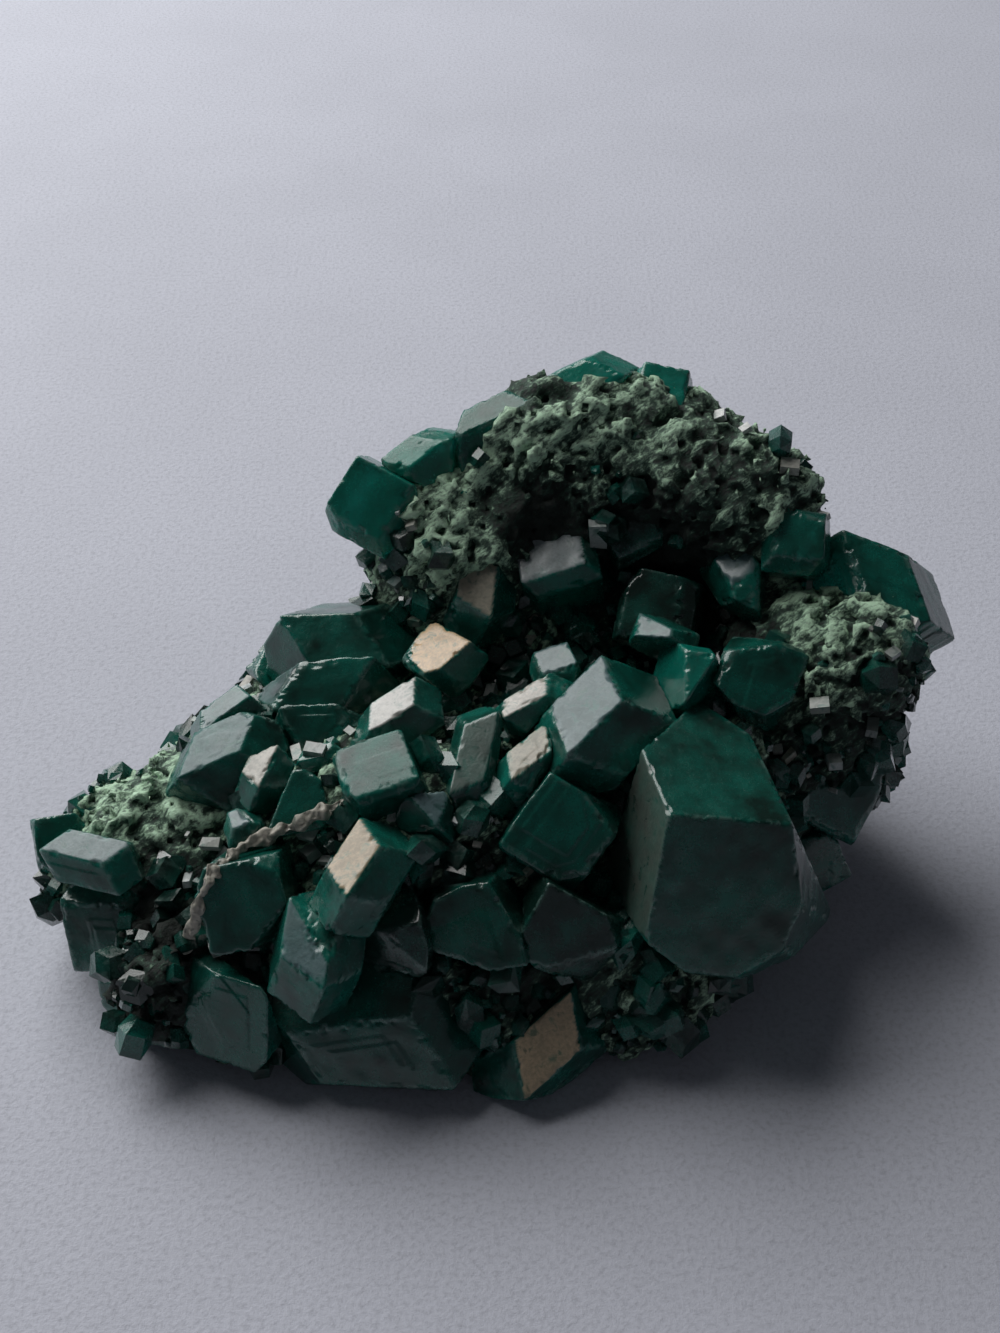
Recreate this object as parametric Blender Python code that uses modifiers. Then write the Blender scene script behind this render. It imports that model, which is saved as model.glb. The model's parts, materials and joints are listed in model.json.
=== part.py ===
"""Dioptase specimen: stubby emerald-green crystals grown on one lump of crumbly host rock.

The rock lies on its flat underside, centred on the origin, with +Z up. The crystals face -Y. Lengths
in the tables are millimetres, and the meshes are made in metres.
"""

import math
from typing import NamedTuple

import bmesh
import bpy
from mathutils import Matrix, Vector

MM = 0.001

# Dioptase is trigonal. Its common crystal is a six-sided prism, closed at each end by three faces.
PRISM_SIDES = 6
END_FACES = 3
END_FACE_TILT = math.radians(51.0)  # from the c axis to the normal of an end face
CLEAVAGE_TILT = math.radians(31.7)  # from the c axis to the normal of a cleavage
CLEAVED_SHARE = 0.5  # how far out from the centre a cleaved crystal is broken off, along c

GAP = 0.3  # between neighbouring solids
FLOOR = 0.0
START_CUBE = 120.0
SAME_POINT = 0.02
SLIVER = 0.001

ROCK_VOXEL_FINE = 1.0
ROCK_VOXEL = 1.9
ROCK_RELIEF = 2.4
ROCK_RELIEF_SIZE = 5.5
ROCK_UNDERSIDE = 0.0


class Finish(NamedTuple):
    colour: tuple
    roughness: float


FINISHES = {
    "host_rock": Finish((0.09, 0.14, 0.11), 0.95),
    "dioptase": Finish((0.005, 0.09, 0.06), 0.15),
    "tarnished": Finish((0.10, 0.14, 0.14), 0.30),
    "iron_stained": Finish((0.45, 0.38, 0.28), 0.45),
}


class Lump(NamedTuple):
    """A rounded mass of the rock: centre and half-sizes, turned by `turn` degrees about Z."""

    centre: tuple
    half: tuple
    turn: float = 0.0


ROCK_LUMPS = (
    Lump((-5, -5, 5), (23, 17, 8.5)),  # bed
    Lump((-5, -13, 3), (17, 11, 7)),  # foot of the front wall
    Lump((8, -13, 4), (9, 9.5, 6.5)),
    Lump((-20, -18, 4), (9, 5, 5)),  # foot of the left-hand crystals
    Lump((-24, -8.5, 5.5), (9.5, 6.5, 7.5)),  # tail
    Lump((-19, -6, 9.5), (9, 7.5, 5.5), 20),
    Lump((-6, -7.5, 11), (13, 10, 6.5)),  # shelf
    Lump((-12, 3, 10), (9, 7.5, 6.5)),  # shoulder
    Lump((5, 10, 9), (18, 10.5, 10)),  # foot of the back wall
    Lump((8, 13.5, 20), (12.5, 6, 12)),  # back wall
    Lump((-3.5, 9, 18.5), (6.5, 5, 9)),
    Lump((-5, 11, 24.5), (5, 4.5, 4.5), 15),  # hood
    Lump((7.5, 14.5, 30), (9.5, 4.5, 4), 5),
    Lump((17, 10.5, 26.5), (8, 5.5, 5.5), -20),
    Lump((23.2, 1.5, 13), (7.2, 8, 9.6)),  # right-hand block
    Lump((25, 0.4, 19.5), (7, 5.8, 4.3), -15),
    Lump((15, -5, 9.5), (7.5, 7.5, 8.5)),
)


class Crystal(NamedTuple):
    """A crystal, laid out by its leading face: the face's centre, the way it faces and the way
    the c axis leans across it. `face` says which kind of face leads: an end face, the prism face to
    one side of it or to the other (prism, prism_beside), or a cleavage. A crystal with a `depth` is
    broken off that far below its leading face. An "uneven" crystal has its faces in UNEVEN_FACETS."""

    name: str
    face: str
    at: tuple
    facing: tuple
    lean: tuple
    width: float
    length: float
    finish: str = "dioptase"
    depth: float = math.inf


class Facet(NamedTuple):
    """A face of a crystal that grew unevenly: the way it faces and a point on it."""

    facing: tuple
    at: tuple


SKYWARD = (-0.25, -0.1, 0.96)

# The big block has a sharp upper corner, where its front, top and left faces meet.
BLOCK_APEX = (11.3, -17.3, 20.0)
UNEVEN_FACETS = {
    "big_block": (
        Facet((0.04, -0.92, 0.39), BLOCK_APEX),
        Facet((0.11, 0, 0.99), BLOCK_APEX),
        Facet((-0.94, -0.23, 0.25), BLOCK_APEX),
        Facet((-0.79, 0.61, 0.05), (12.0, -8.6, 20.0)),
        Facet((0.56, 0.53, 0.64), (15.8, -7.3, 19.5)),
        Facet((0.9, 0.2, 0.38), (18.4, -13.1, 19.2)),
        Facet((0.93, -0.25, 0.27), (19.8, -18.4, 16.5)),
        Facet((0.79, -0.61, -0.05), (19.7, -20.2, 12.3)),
        Facet((0.45, -0.82, -0.36), (17.6, -21.3, 9.9)),
        Facet((-0.1, -0.79, -0.6), (14.5, -21.7, 9.3)),
        Facet((-0.62, -0.46, -0.63), (11.4, -21.3, 10.6)),
        Facet((-0.71, -0.36, -0.6), (8.8, -17.0, 10.8)),
        Facet((0.1, 0.95, -0.3), (14.0, -5.0, 13.0)),
        Facet((0, -0.1, -1), (14.0, -15.0, 7.5)),
    ),
}

# In the order in which they win: a crystal later in the list gives way to those before it.
CRYSTALS = (
    Crystal("big_block", "uneven", BLOCK_APEX, (0.04, -0.92, 0.39), (-0.6, 0.3, 0.75), 13, 15),
    Crystal("shelf_middle", "end", (4.2, -15.2, 16.4), (0, -0.75, 0.66), (-0.2, 0.65, 0.7), 8.5, 9.5),
    Crystal(
        "shelf_slab", "prism_beside", (6.0, -7.9, 21.5), SKYWARD, (0.7, 0.7, 0), 7, 13, "tarnished", 4.5
    ),
    Crystal(
        "hollow_plate", "end", (3.7, 7.2, 24.0), (-0.2, -0.35, 0.92), (-0.8, 0.6, 0), 7, 9, "tarnished"
    ),
    Crystal(
        "hollow_pillar", "prism_beside", (-1.7, 4.4, 23.0), (-0.1, -0.5, 0.86), (0.1, 0.9, 0.5), 4.5, 9, "tarnished"
    ),
    Crystal("golden_stub", "cleavage", (-5.0, -0.7, 20.5), SKYWARD, (1, 0, 0), 5, 6, "iron_stained"),
    Crystal(
        "shelf_chip", "prism_beside", (2.0, -10.7, 19.6), SKYWARD, (0.8, 0.6, 0), 3.5, 7, "iron_stained"
    ),
    Crystal(
        "shelf_post", "prism", (-1.8, -10.2, 19.0), (-0.1, -0.4, 0.9), (0.2, 0.9, 0.4), 3.5, 9, "tarnished"
    ),
    Crystal(
        "shelf_ribbon", "prism_beside", (2.0, -5.8, 20.6), SKYWARD, (0.9, 0.4, 0), 3, 7, "iron_stained"
    ),
    Crystal("shelf_knob", "end", (4.0, -2.2, 20.8), SKYWARD, (0.5, 0.8, 0), 3.5, 5, "tarnished"),
    Crystal(
        "pale_shard", "prism_beside", (-7.7, -5.8, 19.6), SKYWARD, (0.85, 0.5, 0), 4, 8, "iron_stained"
    ),
    Crystal("shelf_corner", "end", (-8.6, -11.4, 19.0), SKYWARD, (0.5, 0.8, 0), 7, 8, "tarnished"),
    Crystal(
        "corner_wing", "prism", (-5.0, -13.2, 18.2), (0.25, -0.3, 0.92), (-0.7, 0.7, 0), 4, 7.5, "tarnished"
    ),
    Crystal(
        "edge_tile", "prism_beside", (-9.8, -18.4, 17.0), SKYWARD, (0.5, 0.85, 0), 4.5, 9, "iron_stained"
    ),
    Crystal(
        "edge_wedge", "prism_beside", (-12.9, -22.3, 13.0), (-0.2, -0.45, 0.87), (0.1, 0.9, 0.5), 5.5, 10, "tarnished"
    ),
    Crystal("front_keel", "prism", (-9.6, -24.3, 5.2), (-0.1, -0.9, 0.42), (1, 0, 0), 11, 21),
    Crystal(
        "front_foot", "prism_beside", (3.2, -23.9, 4.6), (0.1, -0.7, 0.7), (0.75, 0.3, 0.6), 6.5, 12, "iron_stained"
    ),
    Crystal(
        "tail_plate", "prism_beside", (-29.3, -13.0, 12.5), (-0.2, -0.15, 0.97), (-0.9, 0.35, 0), 3.5, 9, "tarnished"
    ),
    Crystal("tail_block", "end", (-28.3, -15.6, 7.0), (-0.25, -0.85, 0.45), (0.5, 0, 0.9), 9, 10),
    Crystal("tail_tip", "end", (-33.3, -10.6, 11.0), (-0.8, -0.45, 0.4), (0, 0, 1), 4, 6),
    Crystal("tail_foot", "end", (-26.0, -19.6, 3.9), (-0.5, -0.8, 0.3), (0.6, 0, 0.8), 9, 9.5),
    Crystal("left_cheek", "end", (-17.5, -19.0, 13.0), (-0.1, -0.8, 0.6), (0.4, 0, 0.9), 8.5, 9),
    Crystal("left_jaw", "end", (-19.0, -23.0, 5.8), (-0.35, -0.85, 0.4), (0.7, 0, 0.7), 9.6, 10),
    Crystal("lens_upper", "prism", (-12.3, 1.4, 19.6), (-0.1, -0.55, 0.83), (1, 0, 0), 7, 13),
    Crystal("lens_middle", "prism_beside", (-13.0, -2.0, 18.4), (-0.1, -0.6, 0.8), (1, 0, 0), 6.5, 12),
    Crystal("lens_lower", "prism", (-13.2, -4.7, 16.8), (-0.1, -0.7, 0.7), (1, 0, 0), 6, 11),
    Crystal("left_pane", "prism_beside", (-20.2, -7.2, 17.3), SKYWARD, (0.9, 0.3, 0), 6, 11, "tarnished"),
    Crystal("left_strip", "prism_beside", (-19.9, -2.8, 17.3), SKYWARD, (0.8, 0.6, 0), 3, 8, "tarnished"),
    Crystal("left_back", "end", (-17.0, 3.6, 16.5), (-0.5, 0.1, 0.85), (0, 0.9, 0.4), 6, 7),
    Crystal("pink_chip", "prism_beside", (-16.9, -9.0, 17.4), SKYWARD, (0.3, 0.9, 0), 3, 7, "iron_stained"),
    Crystal("white_chip", "prism_beside", (-13.2, -8.3, 17.5), SKYWARD, (1, 0, 0), 2, 4, "iron_stained"),
    Crystal("left_dome", "end", (-14.5, -12.6, 16.8), (0, -0.6, 0.8), (0.5, 0.6, 0.6), 6.5, 7),
    Crystal("left_crumb", "end", (-17.9, -13.0, 15.6), SKYWARD, (0.5, 0.8, 0), 2.5, 4, "tarnished"),
    Crystal("wall_left", "end", (-1.8, -20.2, 12.0), (-0.15, -0.8, 0.6), (0.5, 0.3, 0.8), 8.5, 9),
    Crystal("wall_right", "end", (5.0, -20.0, 11.5), (0.1, -0.85, 0.5), (-0.3, 0.3, 0.9), 9, 10),
    Crystal("wall_middle", "end", (-7.4, -20.6, 12.4), (-0.1, -0.85, 0.5), (0.7, 0, 0.7), 7.5, 9),
    Crystal("rim_knob", "end", (21.8, 4.4, 27.3), (-0.2, -0.6, 0.77), (0.5, 0, 0.8), 5, 7),
    Crystal(
        "hollow_right", "prism", (17.5, 4.6, 24.4), (-0.3, -0.3, 0.9), (-0.4, 0.9, 0.2), 4, 8, "tarnished"
    ),
    Crystal("hollow_floor", "end", (11.8, 3.0, 21.6), (-0.2, -0.6, 0.77), (0.7, 0.3, 0.3), 7.5, 9),
    Crystal("hollow_back", "end", (9.5, 8.0, 25.5), (-0.3, -0.7, 0.6), (0, 0, 1), 5.5, 7),
    Crystal("right_prow", "prism", (28.4, 3.6, 24.0), (0.15, -0.35, 0.92), (0.93, -0.35, 0), 8.5, 14),
    Crystal("green_spark", "end", (13.0, -5.2, 21.8), (-0.1, -0.5, 0.86), (0.4, -0.9, 0), 5.5, 7),
    Crystal(
        "slab_neighbour", "prism_beside", (10.8, -2.6, 22.6), SKYWARD, (0.25, 0.95, 0), 4.5, 9, "tarnished"
    ),
    Crystal("crown_emerald", "prism", (6.0, 15.2, 33.7), (-0.15, -0.5, 0.85), (0.9, 0.3, 0.25), 4.5, 9),
    Crystal("crown_teal", "end", (12.2, 15.0, 33.2), (-0.1, -0.5, 0.86), (0.6, 0, 0.8), 5, 7),
    Crystal("hood_tip", "end", (-9.8, 8.3, 27.7), (-0.15, -0.75, 0.65), (-0.28, 0, 0.96), 6.8, 9),
    Crystal("hood_teal", "prism", (-6.4, 11.4, 30.0), (-0.3, -0.3, 0.9), (0.8, 0.5, 0.3), 4, 8),
    Crystal("hood_rim", "prism", (-1.2, 13.4, 31.8), (-0.3, -0.2, 0.93), (0.9, 0.25, 0.25), 4, 10),
    Crystal("behind_block", "end", (18.6, -4.6, 21.2), (0.15, -0.6, 0.78), (0.4, -0.9, 0), 7.5, 9),
    Crystal("right_flank", "end", (25.4, -6.0, 11.0), (0.4, -0.75, 0.5), (0, 0, 1), 8, 9),
    Crystal("right_heel", "end", (23.8, -8.6, 6.0), (0.35, -0.85, 0.3), (0.5, 0, 0.9), 6, 7),
    Crystal("right_cheek", "end", (31.0, 4.6, 14.5), (0.85, 0.2, 0.35), (0, 0, 1), 7.5, 9),
    Crystal("back_left", "end", (-16.5, 8.6, 11.0), (-0.4, 0.8, 0.45), (0.3, 0, 1), 8, 9),
    Crystal("back_shoulder", "end", (-7.5, 15.0, 17.5), (-0.45, 0.8, 0.4), (0, 0, 1), 7, 9),
    Crystal("back_middle", "end", (3.0, 20.8, 19.0), (0, 0.92, 0.4), (0.4, 0, 1), 10, 11),
    Crystal("back_right", "end", (15.0, 19.0, 20.0), (0.3, 0.85, 0.4), (-0.3, 0, 1), 8.5, 10),
    Crystal("back_foot", "end", (-4.0, 20.4, 8.0), (-0.2, 0.95, 0.2), (0.2, 0, 1), 8.5, 9),
    Crystal("back_heel", "end", (12.0, 21.0, 8.5), (0.2, 0.95, 0.2), (0.5, 0, 0.8), 8, 9),
)


def polar(tilt, around):
    """The unit vector at this tilt from +Z, at this angle around it."""
    return Vector((math.sin(tilt) * math.cos(around), math.sin(tilt) * math.sin(around), math.cos(tilt)))


def crystal_planes(crystal):
    """The crystal's faces as (normal, distance from its centre), with the c axis along +Z.

    Three end faces close each end, the lower three turned half-way between the upper three. The prism
    edges point along the end faces."""
    half = crystal.length / 2
    planes = []
    for side in range(PRISM_SIDES):
        planes.append((polar(math.pi / 2, math.tau * (side + 0.5) / PRISM_SIDES), crystal.width / 2))
    for end in range(END_FACES):
        around = math.tau * end / END_FACES
        planes.append((polar(END_FACE_TILT, around), half * math.cos(END_FACE_TILT)))
        planes.append((-polar(END_FACE_TILT, around), half * math.cos(END_FACE_TILT)))
    if crystal.face == "cleavage":
        planes.append((polar(CLEAVAGE_TILT, 0), CLEAVED_SHARE * half * math.cos(CLEAVAGE_TILT)))
    return planes


def leading_normal(crystal):
    """The leading face's normal in the crystal's own axes."""
    if crystal.face == "prism":
        return polar(math.pi / 2, math.pi / PRISM_SIDES)
    if crystal.face == "prism_beside":
        return polar(math.pi / 2, -math.pi / PRISM_SIDES)
    return polar(END_FACE_TILT if crystal.face == "end" else CLEAVAGE_TILT, 0)


def attitude(crystal):
    """The turn that faces the leading face the right way, with the c axis leaning as told."""
    own = leading_normal(crystal)
    tilt = own.angle(Vector((0, 0, 1)))
    facing = Vector(crystal.facing).normalized()
    across = Vector(crystal.lean)
    across = (across - across.dot(facing) * facing).normalized()
    axis = math.cos(tilt) * facing + math.sin(tilt) * across
    outward = (facing - math.cos(tilt) * axis) / math.sin(tilt)
    world = Matrix((outward, axis.cross(outward), axis)).transposed()
    own_outward = Vector((own.x, own.y, 0)).normalized()
    own_axes = Matrix((own_outward, Vector((0, 0, 1)).cross(own_outward), Vector((0, 0, 1)))).transposed()
    return world @ own_axes.transposed()


def cut_body(planes, grow=0.0):
    """The convex body inside all the planes, as a bmesh: a cube, cut by each plane in turn."""
    body = bmesh.new()
    bmesh.ops.create_cube(body, size=START_CUBE)
    for normal, distance in planes:
        everything = body.verts[:] + body.edges[:] + body.faces[:]
        cut = bmesh.ops.bisect_plane(
            body, geom=everything, plane_co=normal * (distance + grow), plane_no=normal, clear_outer=True
        )
        rim = [item for item in cut["geom_cut"] if isinstance(item, bmesh.types.BMEdge)]
        if rim:
            bmesh.ops.contextual_create(body, geom=rim)
    bmesh.ops.remove_doubles(body, verts=body.verts[:], dist=SAME_POINT)
    return body


def body_volume(planes):
    body = cut_body(planes)
    volume = body.calc_volume() if body.faces else 0.0
    body.free()
    return volume


def corners(planes):
    body = cut_body(planes)
    points = [vert.co.copy() for vert in body.verts]
    body.free()
    return points


def placed_planes(crystal):
    """The crystal's planes in the specimen's frame, with the middle of its leading face where told."""
    if crystal.face == "uneven":
        facets = UNEVEN_FACETS[crystal.name]
        normals = [Vector(facet.facing).normalized() for facet in facets]
        planes = [(normal, normal.dot(Vector(facet.at))) for normal, facet in zip(normals, facets)]
        planes.append((Vector((0, 0, -1)), -FLOOR))
        return planes
    turn = attitude(crystal)
    planes = [(turn @ normal, distance) for normal, distance in crystal_planes(crystal)]
    facing = Vector(crystal.facing).normalized()
    body = cut_body(planes)
    leading = max(body.faces, key=lambda face: face.normal.dot(facing))
    move = Vector(crystal.at) - leading.calc_center_median()
    body.free()
    planes = [(normal, distance + normal.dot(move)) for normal, distance in planes]
    if crystal.depth < math.inf:
        planes.append((-facing, crystal.depth - facing.dot(Vector(crystal.at))))
    planes.append((Vector((0, 0, -1)), -FLOOR))
    return planes


def clear_of(planes, points):
    """True if one of the planes has all the points beyond it, by the gap between neighbours."""
    return any(min(normal.dot(point) for point in points) >= distance + GAP for normal, distance in planes)


def give_way(planes, winner):
    """These planes, and one more where the body has grown against the winner: the winner's face
    that takes least from it."""
    if clear_of(winner, corners(planes)) or clear_of(planes, corners(winner)):
        return planes
    kept = [planes + [(-normal, -(distance + GAP))] for normal, distance in winner[:-1]]
    return max(kept, key=body_volume)


def settled_crystals():
    """{name: planes} of every crystal, each cut back to those before it in the list."""
    settled = {}
    for crystal in CRYSTALS:
        planes = placed_planes(crystal)
        for winner in settled.values():
            planes = give_way(planes, winner)
        settled[crystal.name] = planes
    return settled


def material(name):
    finish = FINISHES[name]
    made = bpy.data.materials.new(name)
    made.use_nodes = True
    shader = made.node_tree.nodes["Principled BSDF"]
    shader.inputs["Base Color"].default_value = (*finish.colour, 1.0)
    shader.inputs["Roughness"].default_value = finish.roughness
    return made


def object_of(body, name, collection):
    """A bmesh in millimetres as an object in metres, closed as the convex hull of its corners."""
    bmesh.ops.delete(body, geom=body.edges[:], context="EDGES_FACES")
    bmesh.ops.convex_hull(body, input=body.verts[:])
    loose = [vert for vert in body.verts if not vert.link_faces]
    bmesh.ops.delete(body, geom=loose, context="VERTS")
    bmesh.ops.recalc_face_normals(body, faces=body.faces[:])
    bmesh.ops.scale(body, vec=(MM, MM, MM), verts=body.verts[:])
    mesh = bpy.data.meshes.new(name)
    body.to_mesh(mesh)
    body.free()
    made = bpy.data.objects.new(name, mesh)
    collection.objects.link(made)
    return made


def rock_blank(collection):
    """The rock's lumps, as separate rounded shells in one mesh."""
    body = bmesh.new()
    for lump in ROCK_LUMPS:
        place = Matrix.Translation(lump.centre) @ Matrix.Rotation(math.radians(lump.turn), 4, "Z")
        bmesh.ops.create_icosphere(
            body, subdivisions=4, radius=1.0, matrix=place @ Matrix.Diagonal((*lump.half, 1.0))
        )
    bmesh.ops.scale(body, vec=(MM, MM, MM), verts=body.verts[:])
    mesh = bpy.data.meshes.new("host_rock")
    body.to_mesh(mesh)
    body.free()
    rock = bpy.data.objects.new("host_rock", mesh)
    collection.objects.link(rock)
    return rock


def apply_modifiers(obj):
    graph = bpy.context.evaluated_depsgraph_get()
    obj.data = bpy.data.meshes.new_from_object(obj.evaluated_get(graph))
    obj.modifiers.clear()


def weather(rock):
    """Joins the lumps into one body, breaks up its surface and evens out its mesh."""
    join = rock.modifiers.new("join", "REMESH")
    join.voxel_size = ROCK_VOXEL_FINE * MM
    relief = rock.modifiers.new("relief", "DISPLACE")
    relief.texture = bpy.data.textures.new("crags", "STUCCI")
    relief.texture.noise_scale = ROCK_RELIEF_SIZE * MM
    relief.texture_coords = "GLOBAL"
    relief.strength = ROCK_RELIEF * MM
    even = rock.modifiers.new("even", "REMESH")
    even.voxel_size = ROCK_VOXEL * MM
    apply_modifiers(rock)


def flatten_underside(rock):
    body = bmesh.new()
    body.from_mesh(rock.data)
    everything = body.verts[:] + body.edges[:] + body.faces[:]
    level = Vector((0, 0, ROCK_UNDERSIDE * MM))
    cut = bmesh.ops.bisect_plane(body, geom=everything, plane_co=level, plane_no=(0, 0, -1), clear_outer=True)
    rim = [item for item in cut["geom_cut"] if isinstance(item, bmesh.types.BMEdge)]
    bmesh.ops.holes_fill(body, edges=rim)
    body.to_mesh(rock.data)
    body.free()


def keep_largest_piece(obj):
    """Removes the crumbs that the sockets have cut free."""
    body = bmesh.new()
    body.from_mesh(obj.data)
    pieces = []
    unseen = set(body.verts)
    while unseen:
        found = {unseen.pop()}
        edge_of = list(found)
        while edge_of:
            vert = edge_of.pop()
            for edge in vert.link_edges:
                other = edge.other_vert(vert)
                if other in unseen:
                    unseen.discard(other)
                    found.add(other)
                    edge_of.append(other)
        pieces.append(found)
    largest = max(pieces, key=len)
    crumbs = [vert for vert in body.verts if vert not in largest]
    bmesh.ops.delete(body, geom=crumbs, context="VERTS")
    body.to_mesh(obj.data)
    body.free()


def merge_slivers(obj):
    """Closes up the hair-thin faces that two cuts leave where they meet."""
    body = bmesh.new()
    body.from_mesh(obj.data)
    bmesh.ops.triangulate(body, faces=body.faces[:])
    bmesh.ops.dissolve_degenerate(body, edges=body.edges[:], dist=SLIVER * MM)
    body.to_mesh(obj.data)
    body.free()


def cut_sockets(rock, settled, cutters):
    """Cuts a socket into the rock for each crystal, a gap wider than the crystal all round."""
    for name, planes in settled.items():
        cutter = object_of(cut_body(planes, GAP), "socket_" + name, cutters)
        cutter.hide_render = True
        cutter.display_type = "WIRE"
    sockets = rock.modifiers.new("sockets", "BOOLEAN")
    sockets.operand_type = "COLLECTION"
    sockets.collection = cutters
    apply_modifiers(rock)
    keep_largest_piece(rock)
    merge_slivers(rock)


def main():
    for obj in list(bpy.data.objects):
        bpy.data.objects.remove(obj)
    specimen = bpy.data.collections.new("dioptase_specimen")
    cutters = bpy.data.collections.new("cutters")
    bpy.context.scene.collection.children.link(specimen)
    bpy.context.scene.collection.children.link(cutters)
    finishes = {name: material(name) for name in FINISHES}

    settled = settled_crystals()
    for crystal in CRYSTALS:
        made = object_of(cut_body(settled[crystal.name]), crystal.name, specimen)
        made.data.materials.append(finishes[crystal.finish])

    rock = rock_blank(specimen)
    weather(rock)
    flatten_underside(rock)
    cut_sockets(rock, settled, cutters)
    rock.data.materials.clear()
    rock.data.materials.append(finishes["host_rock"])


main()
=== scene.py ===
"""Dioptase specimen: glassy emerald crystals on a spongy green host rock, standing on a pale table."""

import json
import math

import bpy
import numpy as np
import openvdb
from mathutils import Matrix, Vector


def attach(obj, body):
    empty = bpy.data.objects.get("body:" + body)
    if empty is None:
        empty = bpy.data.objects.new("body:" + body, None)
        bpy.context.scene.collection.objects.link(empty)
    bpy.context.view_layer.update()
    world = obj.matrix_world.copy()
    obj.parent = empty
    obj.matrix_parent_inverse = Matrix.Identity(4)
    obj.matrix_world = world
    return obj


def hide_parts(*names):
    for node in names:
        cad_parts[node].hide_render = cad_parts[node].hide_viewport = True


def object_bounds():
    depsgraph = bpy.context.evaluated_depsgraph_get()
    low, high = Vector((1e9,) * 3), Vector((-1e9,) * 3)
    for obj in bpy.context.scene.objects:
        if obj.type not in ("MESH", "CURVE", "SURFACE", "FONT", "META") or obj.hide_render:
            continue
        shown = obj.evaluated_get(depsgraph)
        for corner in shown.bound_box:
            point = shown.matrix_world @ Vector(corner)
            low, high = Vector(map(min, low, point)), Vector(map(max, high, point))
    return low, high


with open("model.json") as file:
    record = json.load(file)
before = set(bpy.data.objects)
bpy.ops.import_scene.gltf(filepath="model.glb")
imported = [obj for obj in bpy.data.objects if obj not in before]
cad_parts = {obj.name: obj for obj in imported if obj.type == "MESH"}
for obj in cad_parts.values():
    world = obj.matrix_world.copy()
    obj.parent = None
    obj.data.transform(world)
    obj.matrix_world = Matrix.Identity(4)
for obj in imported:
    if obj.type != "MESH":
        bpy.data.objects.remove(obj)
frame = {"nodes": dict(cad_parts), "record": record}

bl_info = {
    "name": "Dioptase specimen",
    "version": (1, 0, 0),
    "blender": (4, 5, 0),
    "location": "3D View > Sidebar > Specimen",
    "description": "Builds a dioptase specimen, its finishes and its table",
    "category": "Add Mesh",
}

MM = 0.001
ROCK_NODE = "host_rock"
ROOT = "root"
SLOT_OF = {part["node"]: part["material_slot"] for part in frame["record"]["subparts"]}
BOX = [np.array(corner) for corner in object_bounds()]


def unit(*direction):
    return np.array(direction) / np.linalg.norm(direction)


# The way that the faces with a film look, which is the way that mirrors the window into the camera, so that
# the film also paints the window's glare into their colour; and the way that the rock's ledges run.
SKYWARD = unit(-0.27, -0.08, 0.96)
STREAK = unit(0.75, 0.35, 0.55)

# Points of a CAD mesh this close are one. Two of its triangles share a face when their normals agree better
# than SAME_FACE, and two faces are parallel when theirs agree better than SAME_WAY. A triangle whose doubled
# area is under SLIVER, in square metres, is left out.
SAME_POINT = 0.001 * MM
SAME_FACE = 0.9995
SAME_WAY = 0.93
SLIVER = 1e-9

# A crystal's grid: the fewest and the most cells along a side, and the narrowest span that it is given, as a
# share of the widest.
GRID_CELLS = (16, 100)
NARROWEST = 0.35
# The soft minimum's power is EDGE_POWER times the crystal's size over its edge radius, within these limits.
EDGE_POWER = 2.37
POWER_LIMITS = (20, 180)
# The width of the band along an edge that is chipped and painted paler as a glint, the size of a large
# crystal, and a flat face's ripple.
EDGE_BAND = 0.3 * MM
LARGE_CRYSTAL = 5 * MM
RIPPLE = 0.011 * MM

# How far the rock's distance field reaches on both sides of its surface, and how deep it goes into a crystal,
# in mm; how many voxels lie around it, and the distance from a crystal over which the relief sets in, in mm.
FAR = 2.6
BURIED = 0.25
MARGIN = 6
SHELTERED = 0.5
# The lowest and the highest relief that the wear leaves, in mm.
RELIEF_LIMITS = (-2.0, 0.7)
# The rock's noises, coarse to fine and then the pits: the longest and the shortest wave in mm, the seed, and
# how far the lumps are drawn out along the ledges.
ROCK_NOISES = (
    (9.0, 3.6, 2, 1.8),
    (4.5, 1.7, 3, 1.7),
    (2.2, 0.8, 5, 1.5),
    (1.1, 0.4, 8, 1.0),
    (2.6, 1.0, 11, 1.0),
)

# Small crystals: the seed, where the unseen back of the rock starts, and how thinly they stand there.
DRUSE_SEED = 41
BACK_FROM = 11 * MM
BACK_SHARE = 0.35

# Flakes: the seed, how far back they go, and the heights between which they set in.
FLAKE_SEED = 57
FLAKES_TO = 9 * MM
FLAKE_HEIGHTS = (8 * MM, 14 * MM)

# The vein: the seed, its grid along and around, the points that its route is smoothed over, and the share of
# its length over which an end narrows.
VEIN_SEED = 73
VEIN_ROWS = 120
VEIN_SIDES = 14
VEIN_SOFTNESS = 13
VEIN_TAPER = 0.12

# The coat's roughness, and the share of light let in, of each kind of crystal.
CLARITY = {
    "dioptase": (0.1, 0.45),
    "tarnished_dioptase": (0.18, 0.3),
    "iron_stained_dioptase": (0.24, 0.2),
}

# The table, in metres: half its side, and how high it climbs at its edge; and its cells along a side.
TABLE_HALF = 1.2
TABLE_RISE = 0.5
TABLE_CELLS = 80
# The way to the window, the point that it faces, and how much higher the wall's light hangs.
WINDOW_WAY = (-0.5, 0.58, 0.64)
WINDOW_TARGET = (0, 0, 12 * MM)
WASH_LIFT = (0, 0, 0.1)
# The camera: focal length and sensor height in mm, tilt in degrees, what it looks at, and from how far.
FOCAL_LENGTH = 50
SENSOR_HEIGHT = 36
CAMERA_TILT = 40
CAMERA_TARGET = (0, 4 * MM, 15 * MM)
CAMERA_DISTANCE = 142.5 * MM
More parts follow.
